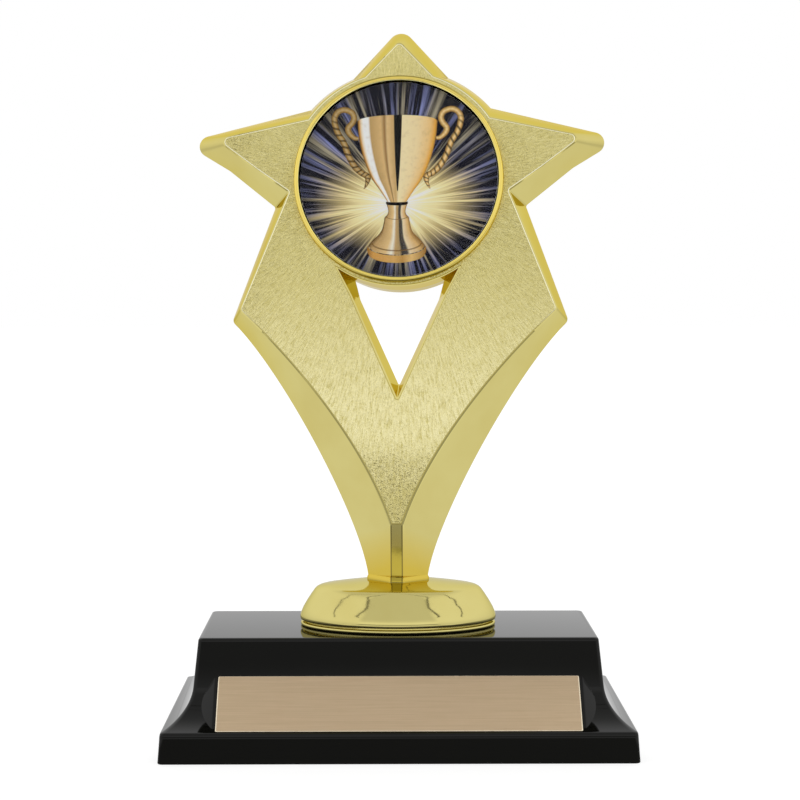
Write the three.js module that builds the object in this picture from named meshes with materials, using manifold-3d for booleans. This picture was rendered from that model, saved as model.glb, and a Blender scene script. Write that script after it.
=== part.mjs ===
// Star trophy: a hollow gold star figure with a ring-held picture disc, leaning back on an oval foot
// that is bolted to a weighted black plinth. Millimetres, +Z up, front towards -Y.
// The origin is the centre of the plinth's underside.
import * as THREE from 'three';
import { mergeVertices } from 'three/addons/utils/BufferGeometryUtils.js';
import Module from 'manifold-3d';

const wasm = await Module();
wasm.setup();

// ---- driving dimensions ----
const GAP = 0.3; // clearance between neighbours in the leaning figure
const SEAT = 0.1; // clearance between level pieces that rest on each other
const OVERRUN = 1; // how far a cutting tool passes the surface that it cuts
const NECK_OVERRUN = 3; // the figure's outline runs this far below its neck before it is trimmed level

const DECK_Z = 27.7; // top of the plinth
const NECK_Z = 39.5; // where the figure meets its foot
const LEAN = THREE.MathUtils.degToRad(10); // the figure leans back from the vertical
const TURN = THREE.MathUtils.degToRad(-4.2); // and is bolted on facing a little to the viewer's left

const HALF_DEPTH = 8; // figure's middle plane to its raised face
const NECK_HALF_DEPTH = 5.3; // the same at the bottom of the neck
const WALL = 2.2; // moulded wall of the figure

const DISC_CENTRE_V = 101.75; // disc centre above the neck, along the lean
const DISC_RADIUS = 25.4; // standard two-inch picture disc
const RECESS_RADIUS = DISC_RADIUS + GAP;
const RECESS_DEPTH = 1.9;
const BEAD_RADIUS = 26.3; // crest line of the ring bead
const BEAD_HEIGHT = 1.3;
// The bead's section, as distances out from its crest line and heights above the face.
const BEAD_SECTION = [[1.9, 0.3], [0.8, 0.5], [0.6, 0.95], [0.25, BEAD_HEIGHT], [-0.25, BEAD_HEIGHT]];
const BEAD_INNER_HEIGHT = 0.9;

const ROD_RADIUS = 2;
const BORE_RADIUS = ROD_RADIUS + GAP;
const INSERT_RADIUS = 3.1;
const INSERT_TOP_Z = 52;

const PLATE_WIDTH = 88;
const PLATE_HEIGHT = 15.2;
const PLATE_THICKNESS = 0.6;
const TAPE_THICKNESS = 0.25;
const PLATE_TILT = THREE.MathUtils.degToRad(48.7); // slope of the engraving panel
const PLATE_CENTRE = new THREE.Vector3(0, -25.6, 13.2); // centre of the plate's outer face

const DECK_THICKNESS = 2.5;
const COVER_HALF_X = 54.9;
const COVER_HALF_Y = 29.6;
const COVER_BOTTOM_Z = 1.6;
const COVER_THICKNESS = 2;
const SCREW_X = 41;
const SCREW_Y = 12.5;

// ---- materials ----
function material(color, roughness, metalness) {
  return new THREE.MeshStandardMaterial({ color, roughness, metalness });
}

const GOLD = material(0xd6c987, 0.25, 1);
const BLACK = material(0x12120f, 0.12, 0);
const TAN_METAL = material(0xbda57f, 0.4, 1);
const STEEL = material(0x9a9c9e, 0.35, 1);
const BRASS = material(0xb08d45, 0.35, 1);
const IRON = material(0x4a4a48, 0.7, 0.6);
const FOAM = material(0xd9d8d0, 0.9, 0);
const PICTURE = material(0x4c4a63, 0.3, 0);
const RESIN = material(0xf4f6f6, 0.03, 0);
const FIBREBOARD = material(0x3a332c, 0.9, 0);
const FELT = material(0x16301f, 1, 0);

// ---- solids: closed meshes in and out of the boolean library ----
function toSolid(geometry) {
  const bare = geometry.clone();
  bare.deleteAttribute('normal');
  bare.deleteAttribute('uv');
  const merged = mergeVertices(bare, 1e-4);
  return new wasm.Manifold(new wasm.Mesh({
    numProp: 3,
    vertProperties: Float32Array.from(merged.attributes.position.array),
    triVerts: Uint32Array.from(merged.index.array),
  }));
}

function toGeometry(solid) {
  const mesh = solid.getMesh();
  const geometry = new THREE.BufferGeometry();
  geometry.setAttribute('position', new THREE.BufferAttribute(mesh.vertProperties, 3));
  geometry.setIndex(new THREE.BufferAttribute(mesh.triVerts, 1));
  geometry.computeVertexNormals();
  return geometry;
}

// Skins a stack of rings {points, h}, where h is one height or gives a point's height.
// Every ring runs anticlockwise with the same count of points.
function loft(rings) {
  const count = rings[0].points.length;
  const heightOf = (h, p) => (typeof h === 'function' ? h(p) : h);
  const positions = rings.flatMap(({ points, h }) => points.flatMap((p) => [p.x, p.y, heightOf(h, p)]));
  const index = [];
  for (let ring = 0; ring < rings.length - 1; ring += 1) {
    for (let i = 0; i < count; i += 1) {
      const a = ring * count + i;
      const b = ring * count + ((i + 1) % count);
      index.push(a, b, b + count, a, b + count, a + count);
    }
  }
  const top = (rings.length - 1) * count;
  for (const [a, b, c] of THREE.ShapeUtils.triangulateShape(rings[0].points, [])) {
    index.push(c, b, a);
  }
  for (const [a, b, c] of THREE.ShapeUtils.triangulateShape(rings.at(-1).points, [])) {
    index.push(top + a, top + b, top + c);
  }
  const geometry = new THREE.BufferGeometry();
  geometry.setAttribute('position', new THREE.Float32BufferAttribute(positions, 3));
  geometry.setIndex(index);
  return geometry;
}

function cylinder(radius, bottom, top, segments = 32) {
  return new THREE.CylinderGeometry(radius, radius, top - bottom, segments)
    .rotateX(Math.PI / 2)
    .translate(0, 0, (bottom + top) / 2);
}

function block(halfX, halfY, bottom, top) {
  return new THREE.BoxGeometry(2 * halfX, 2 * halfY, top - bottom).translate(0, 0, (bottom + top) / 2);
}

// A turned piece about +Z from [radius, height] pairs that run upwards along its outside.
function turned(profile, segments = 48) {
  const points = profile.map(([radius, height]) => new THREE.Vector2(radius, height));
  return new THREE.LatheGeometry(points, segments).rotateX(Math.PI / 2);
}

// ---- outlines ----
function corner(x, y, radius = 0) {
  return { x, y, radius };
}

// Replaces each rounded corner of a closed outline by an arc that is tangent to both of its sides.
function rounded(corners, arcSteps = 4) {
  const points = [];
  corners.forEach((c, i) => {
    const here = new THREE.Vector2(c.x, c.y);
    if (!c.radius) {
      points.push(here);
      return;
    }
    const before = corners.at(i - 1);
    const after = corners[(i + 1) % corners.length];
    const back = new THREE.Vector2(before.x, before.y).sub(here).normalize();
    const ahead = new THREE.Vector2(after.x, after.y).sub(here).normalize();
    const half = Math.acos(THREE.MathUtils.clamp(back.dot(ahead), -1, 1)) / 2;
    const middle = back.clone().add(ahead).normalize();
    const centre = here.clone().addScaledVector(middle, c.radius / Math.sin(half));
    const start = here.clone().addScaledVector(back, c.radius / Math.tan(half)).sub(centre);
    const turn = Math.sign(ahead.cross(back)) * (Math.PI - 2 * half);
    for (let step = 0; step <= arcSteps; step += 1) {
      points.push(start.clone().rotateAround(new THREE.Vector2(), turn * step / arcSteps).add(centre));
    }
  });
  return points;
}

// Moves every side of a closed anticlockwise outline inwards by the same distance.
function inset(corners, distance) {
  const points = corners.map(({ x, y }) => new THREE.Vector2(x, y));
  return points.map((p, i) => {
    const before = points.at(i - 1);
    const after = points[(i + 1) % points.length];
    const sideIn = p.clone().sub(before).normalize();
    const sideOut = after.clone().sub(p).normalize();
    const normalIn = new THREE.Vector2(-sideIn.y, sideIn.x);
    const normalOut = new THREE.Vector2(-sideOut.y, sideOut.x);
    const mitre = normalIn.clone().add(normalOut).normalize();
    return p.clone().addScaledVector(mitre, distance / Math.max(mitre.dot(normalIn), 0.5));
  });
}

function roundedRectangle(halfX, halfY, radius) {
  return rounded([
    corner(halfX, -halfY, radius),
    corner(halfX, halfY, radius),
    corner(-halfX, halfY, radius),
    corner(-halfX, -halfY, radius),
  ]);
}

function ellipse(halfX, halfY, steps = 48) {
  return new THREE.EllipseCurve(0, 0, halfX, halfY).getPoints(steps).slice(0, -1);
}

function between(low, high, t) {
  return low.map((p, i) => p.clone().lerp(high[i], t));
}

function mirrored(rightSide, tip) {
  const leftSide = rightSide.map((c) => ({ ...c, x: -c.x })).reverse();
  return [...rightSide, tip, ...leftSide];
}

function arc(radius, from, to, steps) {
  return Array.from({ length: steps + 1 }, (_, i) => {
    const angle = from + (to - from) * i / steps;
    return corner(radius * Math.sin(angle), DISC_CENTRE_V + radius * Math.cos(angle));
  });
}

// The figure's outline at its middle plane and at its raised face: u to the right, v up from the neck.
const SILHOUETTE = {
  neck: [[7.5, 0], [9.2, 14.6], [30.5, 53.5], [43.5, 66]],
  elbowRadius: 1.6,
  armpit: [32.6, 96.1, 0.8],
  underArm: [44.8, 106],
  tip: [57.3, 113.7, 2.8],
  ringRadius: 31.1,
  ringFrom: 0.858,
  ringTo: 0.414,
  apex: [144.1, 3.4],
};
const FACE = {
  neck: [[1.4, 13], [8, 32.6], [25.2, 53.5], [40.6, 67.8]],
  elbowRadius: 1.4,
  armpit: [28.4, 98.5, 0.6],
  underArm: [36.5, 104.2],
  tip: [47.6, 112, 1.6],
  ringRadius: 28.4,
  ringFrom: 0.973,
  ringTo: 0.318,
  apex: [138.2, 1.4],
};
const LEG_STEPS = 12;
const CAVITY_FIRST_STEP = 3; // the neck is solid below this step of the legs
const RING_STEPS = 6;

function figureCorners(shape, firstStep = 0) {
  const legCurve = new THREE.CubicBezierCurve(...shape.neck.map(([u, v]) => new THREE.Vector2(u, v)));
  const leg = legCurve.getPoints(LEG_STEPS).slice(firstStep).map((p) => corner(p.x, p.y));
  leg.at(-1).radius = shape.elbowRadius;
  if (firstStep === 0) {
    leg.unshift(corner(leg[0].x, -NECK_OVERRUN));
  }
  const right = [
    ...leg,
    corner(...shape.armpit),
    corner(...shape.underArm),
    corner(...shape.tip),
    ...arc(shape.ringRadius, shape.ringFrom, shape.ringTo, RING_STEPS),
  ];
  return mirrored(right, corner(0, ...shape.apex));
}

// The open triangle between the ring and the legs, at the middle plane and at the face.
const HOLE_MIDDLE = { tipV: 49.2, side: [10.2, 71.6], ringRadius: 28.45, ringTo: 0.43 };
const HOLE_FACE = { tipV: 44.8, side: [11.9, 71.6], ringRadius: 28.45, ringTo: 0.6 };
const HOLE_TIP_RADIUS = 0.6;
const CEILING_STEPS = 5;

function holeOutline({ tipV, side, ringRadius, ringTo }) {
  const ceiling = arc(ringRadius, Math.PI - ringTo, Math.PI, CEILING_STEPS).slice(0, -1);
  const right = [corner(...side), ...ceiling];
  const top = corner(0, DISC_CENTRE_V - ringRadius);
  return rounded([corner(0, tipV, HOLE_TIP_RADIUS), ...mirrored(right, top)]);
}

// ---- the leaning figure, built flat: u to the right, v up, w from its middle plane to its face ----
function halfCavity(holeRings) {
  const roof = HALF_DEPTH - WALL;
  const middle = inset(figureCorners(SILHOUETTE, CAVITY_FIRST_STEP), WALL);
  const face = inset(figureCorners(FACE, CAVITY_FIRST_STEP), WALL);
  const room = toSolid(loft([
    { points: middle, h: -OVERRUN },
    { points: between(middle, face, roof / HALF_DEPTH), h: roof },
  ]));
  const holeWall = toSolid(loft(holeRings.map(({ points, h }) => ({ points: inset(points, -WALL), h }))));
  return room.subtract(holeWall);
}

// The face's height falls from where the raised face begins down to the neck.
function faceHeight(p) {
  const faceBottomV = FACE.neck[0][1];
  const fall = Math.max(faceBottomV - p.y, 0) / faceBottomV;
  return THREE.MathUtils.lerp(HALF_DEPTH, NECK_HALF_DEPTH, fall);
}

function halfFigure(bossHeight) {
  const middle = rounded(figureCorners(SILHOUETTE));
  const face = rounded(figureCorners(FACE));
  const body = toSolid(loft([
    { points: between(middle, face, GAP / 2 / HALF_DEPTH), h: GAP / 2 },
    { points: face, h: faceHeight },
  ]));
  const holeMiddle = holeOutline(HOLE_MIDDLE);
  const holeFace = holeOutline(HOLE_FACE);
  const holeRings = [-OVERRUN, 0, HALF_DEPTH, HALF_DEPTH + OVERRUN].map((h) => ({
    points: between(holeMiddle, holeFace, h / HALF_DEPTH), h,
  }));
  const boss = cylinder(RECESS_RADIUS + WALL, bossHeight, HALF_DEPTH).translate(0, DISC_CENTRE_V, 0);
  const cavity = halfCavity(holeRings).subtract(toSolid(boss));
  return body.subtract(toSolid(loft(holeRings))).subtract(cavity);
}

// A tool that stays level with the plinth, turned into the flat figure's frame.
function levelTool(geometry) {
  return toSolid(geometry.translate(0, 0, -NECK_Z).rotateX(LEAN - Math.PI / 2));
}

function fitToFoot(shell) {
  const belowNeck = levelTool(block(4 * HALF_DEPTH, 4 * HALF_DEPTH, NECK_Z - 4 * HALF_DEPTH, NECK_Z));
  const insertBore = levelTool(cylinder(INSERT_RADIUS + GAP, NECK_Z - OVERRUN, INSERT_TOP_Z + GAP));
  return shell.subtract(belowNeck).subtract(insertBore);
}

function ringBead() {
  const base = HALF_DEPTH - OVERRUN;
  const section = BEAD_SECTION.map(([out, height]) => [BEAD_RADIUS + out, HALF_DEPTH + height]);
  return turned([
    [RECESS_RADIUS, base],
    [section[0][0], base],
    ...section,
    [RECESS_RADIUS, HALF_DEPTH + BEAD_INNER_HEIGHT],
    [RECESS_RADIUS, base],
  ]).translate(0, DISC_CENTRE_V, 0);
}

const RECESS_FLOOR = HALF_DEPTH - RECESS_DEPTH;

function frontShell() {
  const recess = cylinder(RECESS_RADIUS, RECESS_FLOOR, HALF_DEPTH + 2 * BEAD_HEIGHT, 48)
    .translate(0, DISC_CENTRE_V, 0);
  const shell = halfFigure(RECESS_FLOOR - WALL).add(toSolid(ringBead())).subtract(toSolid(recess));
  return toGeometry(fitToFoot(shell));
}

function backShell() {
  const shell = halfFigure(HALF_DEPTH - WALL).rotate([0, 180, 0]);
  return toGeometry(fitToFoot(shell));
}

const PAD_THICKNESS = 0.5;
const DISC_THICKNESS = 0.5;
const LENS_EDGE = 0.4;
const LENS_CROWN = 1.5;
const PAD_BOTTOM = RECESS_FLOOR + GAP;
const DISC_BOTTOM = PAD_BOTTOM + PAD_THICKNESS + GAP;
const LENS_BOTTOM = DISC_BOTTOM + DISC_THICKNESS + GAP;

function adhesivePad() {
  return cylinder(DISC_RADIUS - 1.4, PAD_BOTTOM, PAD_BOTTOM + PAD_THICKNESS, 48);
}

function insertDisc() {
  return cylinder(DISC_RADIUS, DISC_BOTTOM, DISC_BOTTOM + DISC_THICKNESS, 48);
}

function domeLens() {
  const steps = 6;
  const dome = Array.from({ length: steps + 1 }, (_, i) => {
    const angle = Math.PI / 2 * i / steps;
    return [DISC_RADIUS * Math.cos(angle), LENS_BOTTOM + LENS_EDGE + LENS_CROWN * Math.sin(angle)];
  });
  dome.at(-1)[0] = 0;
  return turned([[0, LENS_BOTTOM], [DISC_RADIUS, LENS_BOTTOM], ...dome]);
}

// ---- the foot and what holds the figure down ----
const FOOT_HOLLOW = [[22, 12.3, -OVERRUN], [22, 12.3, 2], [18.3, 9, 8.2]];
const FOOT_RINGS = [
  [23.9, 14.2, SEAT],
  [24.6, 14.9, 1.6],
  [24.9, 15.2, 2.8],
  [24.6, 14.9, 3.5],
  [23.05, 13.3, 6.4],
  [21.5, 11.9, 8.7],
  [20.6, 10.95, 9.75],
  [18.8, 9.9, 10.4],
  [12, 8.1, 11],
  [8, 6.8, NECK_Z - GAP - DECK_Z],
];
const FOOT_BOSS_RADIUS = 5;

function ellipseStack(rings) {
  return toSolid(loft(rings.map(([halfX, halfY, h]) => ({ points: ellipse(halfX, halfY), h: DECK_Z + h }))));
}

function pedestalFoot() {
  const boss = toSolid(cylinder(FOOT_BOSS_RADIUS, DECK_Z + SEAT, NECK_Z));
  const hollow = ellipseStack(FOOT_HOLLOW).subtract(boss);
  const bore = toSolid(cylinder(BORE_RADIUS, DECK_Z - OVERRUN, NECK_Z + OVERRUN));
  return toGeometry(ellipseStack(FOOT_RINGS).subtract(hollow).subtract(bore));
}

// A flat ring or hexagon with a central hole.
function pierced(outerRadius, bottom, top, sides = 32) {
  const outer = toSolid(cylinder(outerRadius, bottom, top, sides));
  const hole = toSolid(cylinder(BORE_RADIUS, bottom - OVERRUN, top + OVERRUN, 24));
  return toGeometry(outer.subtract(hole));
}

const DECK_UNDERSIDE = DECK_Z - DECK_THICKNESS;
const WASHER_THICKNESS = 1;
const NUT_HEIGHT = 3.2;
const NUT_RADIUS = 4.04; // across the corners
const WASHER_TOP = DECK_UNDERSIDE - SEAT;
const LOCK_TOP = WASHER_TOP - WASHER_THICKNESS - SEAT;
const NUT_TOP = LOCK_TOP - WASHER_THICKNESS - SEAT;
const ROD_BOTTOM = NUT_TOP - NUT_HEIGHT - 2.5;
const ROD_TOP = INSERT_TOP_Z - 2;

function neckInsert() {
  const body = toSolid(cylinder(INSERT_RADIUS, NECK_Z + GAP, INSERT_TOP_Z));
  const thread = toSolid(cylinder(BORE_RADIUS, NECK_Z - OVERRUN, ROD_TOP + GAP, 24));
  return toGeometry(body.subtract(thread));
}

// ---- the plinth ----
const DECK_HALF_X = 49.1;
const DECK_HALF_Y = 18.75;
const STEP_HALF_X = 57.2;
const STEP_HALF_Y = 31.8;
const FOOTPRINT_HALF_X = 57.65;
const FOOTPRINT_HALF_Y = 32.25;
const STEP_Z = 6.7;
const COVE_STEPS = 7;
const PLINTH_CORNER = 1;

// How far out the wall and cove stand, as a fraction of the way from the deck's edge to the step's, and their height.
const COVE = new THREE.CubicBezierCurve(
  new THREE.Vector2(0.137, 16),
  new THREE.Vector2(0.19, 11.6),
  new THREE.Vector2(0.56, 8.6),
  new THREE.Vector2(0.975, 7.3),
);

function plinthRing(wayOut, h) {
  const halfX = THREE.MathUtils.lerp(DECK_HALF_X, STEP_HALF_X, wayOut);
  const halfY = THREE.MathUtils.lerp(DECK_HALF_Y, STEP_HALF_Y, wayOut);
  return { points: roundedRectangle(halfX, halfY, PLINTH_CORNER), h };
}

const CAVITY_RINGS = [
  [55.2, 29.9, -OVERRUN],
  [55, 29.7, 4.4],
  [53, 27.6, 5.4],
  [50.6, 23.2, 7.3],
  [48.6, 20.2, 9.9],
  [47.9, 18.1, 14],
  [46.9, 16.5, DECK_UNDERSIDE],
];

function plinthBody() {
  return toSolid(loft([
    { points: roundedRectangle(FOOTPRINT_HALF_X, FOOTPRINT_HALF_Y, PLINTH_CORNER), h: 0 },
    { points: roundedRectangle(STEP_HALF_X, STEP_HALF_Y, PLINTH_CORNER), h: STEP_Z },
    ...COVE.getPoints(COVE_STEPS).reverse().map((p) => plinthRing(p.x, p.y)),
    plinthRing(0.01, DECK_Z - 0.5),
    plinthRing(-0.03, DECK_Z),
  ]));
}

const PANEL_DROP = PLATE_THICKNESS + TAPE_THICKNESS + 2 * GAP; // plate's outer face to the panel
const PANEL_MARGIN = 0.8;
const PANEL_DEPTH = 5;
const PANEL_FLARE = Math.tan(THREE.MathUtils.degToRad(40));

// Places a tool made in the plate's own frame, where the plate's outer face is at height 0.
function onPanel(geometry) {
  return toSolid(geometry.rotateX(PLATE_TILT).translate(...PLATE_CENTRE.toArray()));
}

// The wedge that carries the plate, with sides that flare towards the plinth.
function panelWedge() {
  const halfX = PLATE_WIDTH / 2 + PANEL_MARGIN;
  const halfY = PLATE_HEIGHT / 2 + PANEL_MARGIN;
  return onPanel(loft([
    { points: roundedRectangle(halfX + PANEL_DEPTH * PANEL_FLARE, halfY, 0.3), h: -PANEL_DROP - PANEL_DEPTH },
    { points: roundedRectangle(halfX, halfY, 0.3), h: -PANEL_DROP },
  ]));
}

function plateSeat() {
  return onPanel(block(PLATE_WIDTH / 2 + GAP, PLATE_HEIGHT / 2 + GAP, -PANEL_DROP, OVERRUN));
}

const SCREW_PLACES = [[-SCREW_X, -SCREW_Y], [SCREW_X, -SCREW_Y], [SCREW_X, SCREW_Y], [-SCREW_X, SCREW_Y]];
const SCREW_HEAD_RADIUS = 2.5;
const SCREW_RADIUS = 1.1;
const SCREW_TOP = 12;
const SCREW_HEAD_HEIGHT = 1.1;
const COVER_TOP = COVER_BOTTOM_Z + COVER_THICKNESS;
const BOSS_RADIUS = 3.5;

function baseShell() {
  const cavityRings = CAVITY_RINGS.map(([halfX, halfY, h]) => ({
    points: roundedRectangle(halfX, halfY, PLINTH_CORNER), h,
  }));
  const bosses = SCREW_PLACES.map(([x, y]) => toSolid(
    cylinder(BOSS_RADIUS, COVER_TOP + SEAT, DECK_Z, 16).translate(x, y, 0),
  ));
  const cavity = bosses.reduce((room, boss) => room.subtract(boss), toSolid(loft(cavityRings)));
  const pilots = SCREW_PLACES.map(([x, y]) => toSolid(
    cylinder(SCREW_RADIUS + SEAT, 0, SCREW_TOP + GAP, 12).translate(x, y, 0),
  ));
  const bore = toSolid(cylinder(BORE_RADIUS, 0, DECK_Z + OVERRUN, 24));
  const shell = plinthBody().add(panelWedge()).subtract(plateSeat()).subtract(cavity).subtract(bore);
  return toGeometry(pilots.reduce((rest, pilot) => rest.subtract(pilot), shell));
}

function bottomCover() {
  const plate = toSolid(loft([COVER_BOTTOM_Z, COVER_TOP].map((h) => ({
    points: roundedRectangle(COVER_HALF_X, COVER_HALF_Y, PLINTH_CORNER), h,
  }))));
  return toGeometry(SCREW_PLACES.reduce((rest, [x, y]) => {
    const head = cylinder(SCREW_HEAD_RADIUS + GAP, 0, COVER_BOTTOM_Z + SCREW_HEAD_HEIGHT + SEAT, 24).translate(x, y, 0);
    const shank = cylinder(SCREW_RADIUS + GAP, 0, COVER_TOP + OVERRUN, 12).translate(x, y, 0);
    return rest.subtract(toSolid(head)).subtract(toSolid(shank));
  }, plate));
}

function coverScrew() {
  return turned([
    [0, COVER_BOTTOM_Z],
    [SCREW_HEAD_RADIUS, COVER_BOTTOM_Z],
    [SCREW_HEAD_RADIUS, COVER_BOTTOM_Z + SCREW_HEAD_HEIGHT],
    [SCREW_RADIUS, COVER_BOTTOM_Z + SCREW_HEAD_HEIGHT],
    [SCREW_RADIUS, SCREW_TOP - 1.5],
    [0, SCREW_TOP],
  ], 20);
}

const FELT_TOP = COVER_BOTTOM_Z - SEAT;

function feltPad() {
  return loft([0, FELT_TOP].map((h) => ({
    points: roundedRectangle(COVER_HALF_X - SEAT, COVER_HALF_Y - SEAT, PLINTH_CORNER), h,
  })));
}

const BALLAST_HALF_X = 34;
const BALLAST_HALF_Y = 15;
const BALLAST_HEIGHT = 9;

function ballastWeight() {
  return loft([COVER_TOP + SEAT, COVER_TOP + SEAT + BALLAST_HEIGHT].map((h) => ({
    points: roundedRectangle(BALLAST_HALF_X, BALLAST_HALF_Y, 3), h,
  })));
}

// ---- assembly ----
function piece(name, geometry, look, parent) {
  const mesh = new THREE.Mesh(geometry, look);
  mesh.name = name;
  parent.add(mesh);
  return mesh;
}

const trophy = new THREE.Group();

const turntable = new THREE.Group();
turntable.rotation.z = TURN;
trophy.add(turntable);

const figure = new THREE.Group();
figure.position.z = NECK_Z;
figure.rotation.x = Math.PI / 2 - LEAN;
turntable.add(figure);
piece('star_front_shell', frontShell(), GOLD, figure);
piece('star_back_shell', backShell(), GOLD, figure);

const insert = new THREE.Group();
insert.position.y = DISC_CENTRE_V;
figure.add(insert);
piece('insert_adhesive_pad', adhesivePad(), FOAM, insert);
piece('printed_insert_disc', insertDisc(), PICTURE, insert);
piece('insert_dome_lens', domeLens(), RESIN, insert);

piece('pedestal_foot', pedestalFoot(), GOLD, trophy);
piece('neck_insert', neckInsert(), BRASS, trophy);
piece('threaded_rod', cylinder(ROD_RADIUS, ROD_BOTTOM, ROD_TOP, 24), STEEL, trophy);
piece('clamp_washer', pierced(6, WASHER_TOP - WASHER_THICKNESS, WASHER_TOP), STEEL, trophy);
piece('lock_washer', pierced(3.8, LOCK_TOP - WASHER_THICKNESS, LOCK_TOP), STEEL, trophy);
piece('hex_nut', pierced(NUT_RADIUS, NUT_TOP - NUT_HEIGHT, NUT_TOP, 6), STEEL, trophy);

piece('base_shell', baseShell(), BLACK, trophy);
piece('ballast_weight', ballastWeight(), IRON, trophy);
piece('bottom_cover', bottomCover(), FIBREBOARD, trophy);
piece('felt_pad', feltPad(), FELT, trophy);
SCREW_PLACES.forEach(([x, y], i) => {
  piece(`cover_screw_${i + 1}`, coverScrew(), STEEL, trophy).position.set(x, y, 0);
});

const panel = new THREE.Group();
panel.position.copy(PLATE_CENTRE);
panel.rotation.x = PLATE_TILT;
trophy.add(panel);
piece('engraving_plate', new THREE.BoxGeometry(PLATE_WIDTH, PLATE_HEIGHT, PLATE_THICKNESS), TAN_METAL, panel)
  .position.z = -PLATE_THICKNESS / 2;
piece('plate_adhesive_tape', new THREE.BoxGeometry(PLATE_WIDTH - 2, PLATE_HEIGHT - 2, TAPE_THICKNESS), FOAM, panel)
  .position.z = -PLATE_THICKNESS - GAP - TAPE_THICKNESS / 2;

export default trophy;
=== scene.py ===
"""Star trophy: the looks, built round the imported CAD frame. Lengths are millimetres; MM makes them metres."""
import math

import bpy
import bmesh
from mathutils import Matrix, Vector, noise
from mathutils.geometry import delaunay_2d_cdt


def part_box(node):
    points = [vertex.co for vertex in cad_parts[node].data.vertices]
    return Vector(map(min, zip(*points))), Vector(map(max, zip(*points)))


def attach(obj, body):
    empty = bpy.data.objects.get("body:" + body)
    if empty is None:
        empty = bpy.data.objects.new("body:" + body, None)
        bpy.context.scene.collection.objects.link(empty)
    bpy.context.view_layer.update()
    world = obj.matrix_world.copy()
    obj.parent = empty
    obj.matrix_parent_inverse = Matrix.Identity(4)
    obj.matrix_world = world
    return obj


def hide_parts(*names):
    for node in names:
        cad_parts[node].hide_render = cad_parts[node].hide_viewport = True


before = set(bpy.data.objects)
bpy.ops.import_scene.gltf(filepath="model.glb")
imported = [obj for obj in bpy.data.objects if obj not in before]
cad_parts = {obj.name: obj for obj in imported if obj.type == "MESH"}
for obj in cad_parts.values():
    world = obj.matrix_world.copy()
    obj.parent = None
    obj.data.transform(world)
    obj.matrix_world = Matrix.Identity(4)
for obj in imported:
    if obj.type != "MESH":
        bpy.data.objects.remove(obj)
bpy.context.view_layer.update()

MM = 0.001

# ---- places taken from the frame ----
DECK_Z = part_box("base_shell")[1].z / MM
NECK_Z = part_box("star_front_shell")[0].z / MM
LEAN = math.radians(10)
TURN = math.radians(-4.2)
ROLL = math.radians(0.3)
HALF_DEPTH = 8.0
NECK_HALF_DEPTH = 5.3
TO_NECK = Matrix.Translation((0, 0, NECK_Z * MM)) @ Matrix.Rotation(TURN, 4, "Z")
TO_FIGURE = TO_NECK @ Matrix.Rotation(math.pi / 2 - LEAN, 4, "X") @ Matrix.Rotation(ROLL, 4, "Z")

DISC_V = 101.75
DISC_RADIUS = 25.4
BEAD_FOOT_RADIUS = 26.95
PLATEAU_STEP = 0.5
ROUND_STEPS = 240

PLATE_TILT = math.radians(48.7)
PLATE_CENTRE = (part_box("engraving_plate")[0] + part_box("engraving_plate")[1]) / 2
PLATE_THICKNESS = 0.6
PLATE_HALF_HEIGHT = 7.6
TO_PLATE = Matrix.Translation(PLATE_CENTRE) @ Matrix.Rotation(PLATE_TILT, 4, "X")


# ---- mesh building ----
class Builder:
    """Collects points in millimetres and faces with a material number, then makes one mesh object of them."""

    def __init__(self):
        self.points = []
        self.faces = []
        self.looks = []

    def add(self, points, faces, look=0):
        start = len(self.points)
        self.points.extend(points)
        self.faces.extend([tuple(start + i for i in f) for f in faces])
        self.looks.extend([look] * len(faces))

    def loft(self, rings, look=0, closed=True):
        """Skins rings of 3-D points, anticlockwise seen from the end that they run to."""
        count = len(rings[0])
        steps = count if closed else count - 1
        faces = []
        for r in range(len(rings) - 1):
            for i in range(steps):
                a, b = r * count + i, r * count + (i + 1) % count
                faces.append((a, b, b + count, a + count))
        self.add([p for ring in rings for p in ring], faces, look)

    def fan(self, ring, look=0, flip=False):
        face = tuple(range(len(ring)))
        self.add(ring, [face[::-1] if flip else face], look)

    def make(self, name, materials, transform=None, weld=0.0005, smooth_angle=40):
        mesh = bpy.data.meshes.new(name)
        mesh.from_pydata([Vector(p) * MM for p in self.points], [], self.faces)
        mesh.polygons.foreach_set("material_index", self.looks)
        for m in materials:
            mesh.materials.append(m)
        bm = bmesh.new()
        bm.from_mesh(mesh)
        bmesh.ops.remove_doubles(bm, verts=bm.verts, dist=weld * MM)
        if transform:
            bmesh.ops.transform(bm, matrix=transform, verts=bm.verts)
        bm.to_mesh(mesh)
        bm.free()
        obj = bpy.data.objects.new(name, mesh)
        bpy.context.scene.collection.objects.link(obj)
        mesh.shade_smooth()
        mesh.set_sharp_from_angle(angle=math.radians(smooth_angle))
        return obj


def at_height(outline, h):
    return [(p.x, p.y, h) for p in outline]


def trim_below(obj, z):
    """Cuts away what is below a level plane and closes the cut."""
    bm = bmesh.new()
    bm.from_mesh(obj.data)
    everything = bm.verts[:] + bm.edges[:] + bm.faces[:]
    cut = bmesh.ops.bisect_plane(bm, geom=everything, plane_co=(0, 0, z * MM), plane_no=(0, 0, -1),
                                 clear_outer=True)
    edges = [e for e in cut["geom_cut"] if isinstance(e, bmesh.types.BMEdge)]
    bmesh.ops.holes_fill(bm, edges=edges)
    bm.to_mesh(obj.data)
    bm.free()


# ---- outlines ----
def corner(x, y, radius=0.0):
    return x, y, radius


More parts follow.
